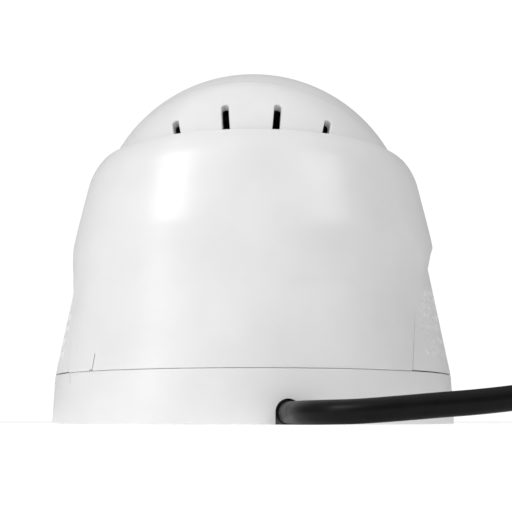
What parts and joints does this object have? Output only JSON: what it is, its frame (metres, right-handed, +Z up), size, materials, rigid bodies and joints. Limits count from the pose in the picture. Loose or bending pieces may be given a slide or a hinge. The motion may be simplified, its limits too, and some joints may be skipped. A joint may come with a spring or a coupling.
{
  "type": "pan tilt dome camera",
  "caption": "Dome camera on a round base: a bell housing pans on the base and a ball head with the lens tilts inside it; cable with socket leaves the back.",
  "frame": {"origin": "centre of the base ring on the floor, at the bottom of the base", "axes": "+Z up along the pan axis, -Y towards the lens side, +Y towards the cable side"},
  "size_m": [0.2297, 0.1566, 0.1096],
  "materials": {
    "white_shell": "satin gloss",
    "white_grille": "satin",
    "grey_plastic": "fine texture",
    "black_plastic": "matt",
    "gear_plastic": "moulded",
    "circuit_board": "solder mask",
    "steel": "zinc plated",
    "aluminium": "machined",
    "brass": "turned",
    "tinted_window": "polished",
    "lens_glass": "coated",
    "filter_glass": "polished",
    "cable_jacket": "satin jacket",
    "black_rubber": "moulded"
  },
  "bodies": {
    "base": {"base_ring": "white_shell", "mounting_plate": "steel", "base_screws": "steel", "pan_bearing_outer": "steel", "pan_ring_gear": "gear_plastic", "main_board": "circuit_board", "cable_gland": "black_rubber", "cable": "cable_jacket", "cable_coil": "cable_jacket", "cable_tail": "cable_jacket", "cable_boot": "black_rubber", "network_socket": "black_plastic"},
    "pan_unit": {"turntable": "grey_plastic", "pan_bearing_inner": "steel", "pan_motor": "steel", "housing_shell": "white_shell", "grille_left": "white_grille", "grille_right": "white_grille", "yoke_left": "grey_plastic", "yoke_right": "grey_plastic", "tilt_bushing_left": "brass", "tilt_bushing_right": "brass", "tilt_ring_gear": "gear_plastic", "speaker": "black_plastic", "control_board": "circuit_board", "housing_screws": "steel"},
    "pan_gear": {"pan_pinion": "gear_plastic"},
    "head": {"head_frame": "grey_plastic", "head_rear_shell": "white_shell", "head_front_shell": "white_shell", "lens_bezel": "black_plastic", "front_window": "tinted_window", "lens_barrel": "black_plastic", "front_lens": "lens_glass", "led_board": "circuit_board", "infrared_leds": "lens_glass", "tilt_motor": "steel", "filter_frame": "black_plastic", "sensor_board": "circuit_board", "image_sensor": "black_plastic", "heat_sink": "aluminium", "zoom_motor": "steel", "focus_motor": "steel"},
    "tilt_gear": {"tilt_pinion": "gear_plastic"},
    "zoom_group": {"zoom_carrier": "black_plastic"},
    "focus_group": {"focus_carrier": "black_plastic"},
    "day_night_filter": {"infrared_filter": "filter_glass"}
  },
  "joints": [
    {"name": "pan", "type": "hinge", "parent": "base", "child": "pan_unit", "pos_m": [0, 0, 0.012], "axis": [0, 0, 1], "range_deg": [-175, 175]},
    {"name": "pan_drive", "type": "hinge", "parent": "pan_unit", "child": "pan_gear", "pos_m": [0, 0.046, 0.012], "axis": [0, 0, 1], "range_deg": [-1166.7, 1166.7]},
    {"name": "tilt", "type": "hinge", "parent": "pan_unit", "child": "head", "pos_m": [0, 0, 0.0603], "axis": [-1, 0, 0], "range_deg": [-27.3, 48.7]},
    {"name": "tilt_drive", "type": "hinge", "parent": "head", "child": "tilt_gear", "pos_m": [-0.045, 0, 0.0395], "axis": [-1, 0, 0], "range_deg": [-91, 162.4]},
    {"name": "zoom", "type": "slide", "parent": "head", "child": "zoom_group", "axis": [0, -0.8161, 0.5779], "range_m": [-0.003, 0.003]},
    {"name": "focus", "type": "slide", "parent": "head", "child": "focus_group", "axis": [0, -0.8161, 0.5779], "range_m": [-0.0015, 0.0015]},
    {"name": "filter_shift", "type": "slide", "parent": "head", "child": "day_night_filter", "axis": [1, 0, 0], "range_m": [0, 0.007]}
  ],
  "couplings": [
    {"joint": "pan_drive", "follows": "pan", "ratio": 6.6667},
    {"joint": "tilt_drive", "follows": "tilt", "ratio": 3.3333}
  ]
}
